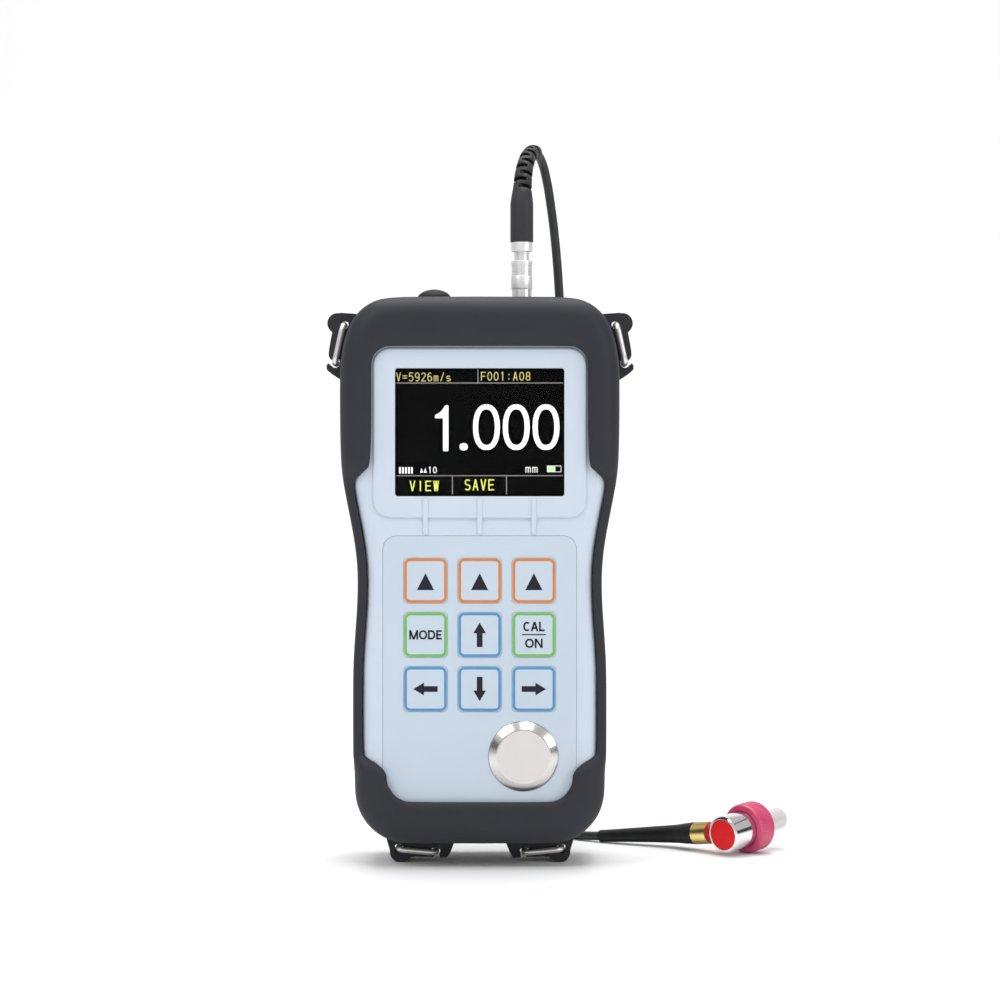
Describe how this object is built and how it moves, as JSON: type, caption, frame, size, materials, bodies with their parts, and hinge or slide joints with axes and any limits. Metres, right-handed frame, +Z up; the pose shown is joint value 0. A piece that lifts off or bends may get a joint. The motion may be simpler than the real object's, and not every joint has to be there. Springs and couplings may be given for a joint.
{
  "type": "ultrasonic thickness gauge",
  "caption": "Handheld ultrasonic thickness gauge standing in a rubber boot with strap rings, with a square-key panel, a colour display, a zero disc and a delay-line probe on a coiled lead.",
  "frame": {"origin": "centre of the flat under the right-hand lower ear, on the floor that the gauge stands on", "axes": "+X to the right seen from the front, +Y to the back, +Z up"},
  "size_m": [0.1421, 0.127, 0.2187],
  "materials": {
    "boot": "matte moulded rubber, dark grey",
    "case": "light blue moulded plastic, fine satin",
    "film": "light blue keypad film",
    "key_orange": "light blue key with an orange frame",
    "key_green": "light blue key with a green frame",
    "key_blue": "light blue key with a blue frame",
    "window": "clear window over the display",
    "display": "colour display",
    "seal": "black seal",
    "screw": "plain steel",
    "disc": "turned stainless steel",
    "board": "circuit board",
    "cell": "battery cells",
    "black": "black plastic",
    "cap": "black rubber",
    "ring": "bright steel wire",
    "plug": "satin chrome",
    "cable": "black cable jacket",
    "brass": "plain brass",
    "red": "red",
    "probe": "polished stainless steel",
    "magenta": "anodised magenta",
    "tip": "white delay-line plastic"
  },
  "bodies": {
    "gauge": {"rubber_boot": "boot", "front_case": "case", "rear_case": "case", "case_gasket": "seal", "case_screws": "screw", "display_window": "window", "display_module": "display", "keypad_film": "film", "dome_sheet": "screw", "main_board": "board", "battery_cells": "cell", "battery_door": "case", "door_screws": "screw", "zero_disc": "disc", "disc_nut": "screw", "probe_socket": "plug", "socket_nut": "screw", "data_port": "black", "buzzer": "black", "plug_core": "plug", "collet_nut": "plug", "plug_relief": "cap", "cable_drop": "cable", "cable_coil": "cable", "coil_tie": "black", "cable_lead": "cable", "lead_relief": "cap", "side_connector": "brass", "connector_washer": "red", "probe_body": "probe", "probe_label": "red", "delay_tip": "tip"},
    "key_soft_left_body": {"key_soft_left": "key_orange"},
    "key_soft_middle_body": {"key_soft_middle": "key_orange"},
    "key_soft_right_body": {"key_soft_right": "key_orange"},
    "key_mode_body": {"key_mode": "key_green"},
    "key_up_body": {"key_up": "key_blue"},
    "key_on_body": {"key_on": "key_green"},
    "key_left_body": {"key_left": "key_blue"},
    "key_down_body": {"key_down": "key_blue"},
    "key_right_body": {"key_right": "key_blue"},
    "ring_upper_left_body": {"ring_upper_left": "ring"},
    "ring_upper_right_body": {"ring_upper_right": "ring"},
    "ring_lower_left_body": {"ring_lower_left": "ring"},
    "ring_lower_right_body": {"ring_lower_right": "ring"},
    "release_sleeve_body": {"release_sleeve": "plug"},
    "port_cap_body": {"port_cap": "cap"},
    "knurled_ring_body": {"knurled_ring": "magenta"}
  },
  "joints": [
    {"name": "key_soft_left_press", "type": "slide", "parent": "gauge", "child": "key_soft_left_body", "axis": [0, 1, 0], "range_m": [0, 0.0004], "stiffness_N_per_m": 2500},
    {"name": "key_soft_middle_press", "type": "slide", "parent": "gauge", "child": "key_soft_middle_body", "axis": [0, 1, 0], "range_m": [0, 0.0004], "stiffness_N_per_m": 2500},
    {"name": "key_soft_right_press", "type": "slide", "parent": "gauge", "child": "key_soft_right_body", "axis": [0, 1, 0], "range_m": [0, 0.0004], "stiffness_N_per_m": 2500},
    {"name": "key_mode_press", "type": "slide", "parent": "gauge", "child": "key_mode_body", "axis": [0, 1, 0], "range_m": [0, 0.0004], "stiffness_N_per_m": 2500},
    {"name": "key_up_press", "type": "slide", "parent": "gauge", "child": "key_up_body", "axis": [0, 1, 0], "range_m": [0, 0.0004], "stiffness_N_per_m": 2500},
    {"name": "key_on_press", "type": "slide", "parent": "gauge", "child": "key_on_body", "axis": [0, 1, 0], "range_m": [0, 0.0004], "stiffness_N_per_m": 2500},
    {"name": "key_left_press", "type": "slide", "parent": "gauge", "child": "key_left_body", "axis": [0, 1, 0], "range_m": [0, 0.0004], "stiffness_N_per_m": 2500},
    {"name": "key_down_press", "type": "slide", "parent": "gauge", "child": "key_down_body", "axis": [0, 1, 0], "range_m": [0, 0.0004], "stiffness_N_per_m": 2500},
    {"name": "key_right_press", "type": "slide", "parent": "gauge", "child": "key_right_body", "axis": [0, 1, 0], "range_m": [0, 0.0004], "stiffness_N_per_m": 2500},
    {"name": "ring_upper_left_swing", "type": "hinge", "parent": "gauge", "child": "ring_upper_left_body", "pos_m": [-0.06615, 0, 0.15605], "axis": [-0.2124, 0, -0.9772], "range_deg": [-6, 6]},
    {"name": "ring_upper_right_swing", "type": "hinge", "parent": "gauge", "child": "ring_upper_right_body", "pos_m": [0.01855, 0, 0.15605], "axis": [0.2124, 0, -0.9772], "range_deg": [-6, 6]},
    {"name": "ring_lower_left_swing", "type": "hinge", "parent": "gauge", "child": "ring_lower_left_body", "pos_m": [-0.04275, 0, 0.0035], "axis": [0.996, 0, -0.0897], "range_deg": [-6, 6]},
    {"name": "ring_lower_right_swing", "type": "hinge", "parent": "gauge", "child": "ring_lower_right_body", "pos_m": [-0.00485, 0, 0.0035], "axis": [-0.996, 0, -0.0897], "range_deg": [-6, 6]},
    {"name": "sleeve_pull", "type": "slide", "parent": "gauge", "child": "release_sleeve_body", "axis": [0, 0, 1], "range_m": [0, 0.002], "stiffness_N_per_m": 1200},
    {"name": "cap_pull", "type": "slide", "parent": "gauge", "child": "port_cap_body", "axis": [0, 0, 1], "range_m": [0, 0.012]},
    {"name": "ring_turn", "type": "hinge", "parent": "gauge", "child": "knurled_ring_body", "pos_m": [0.05947, 0.0159, 0.00784], "axis": [0.692, 0.7166, 0.0872], "continuous": true}
  ]
}
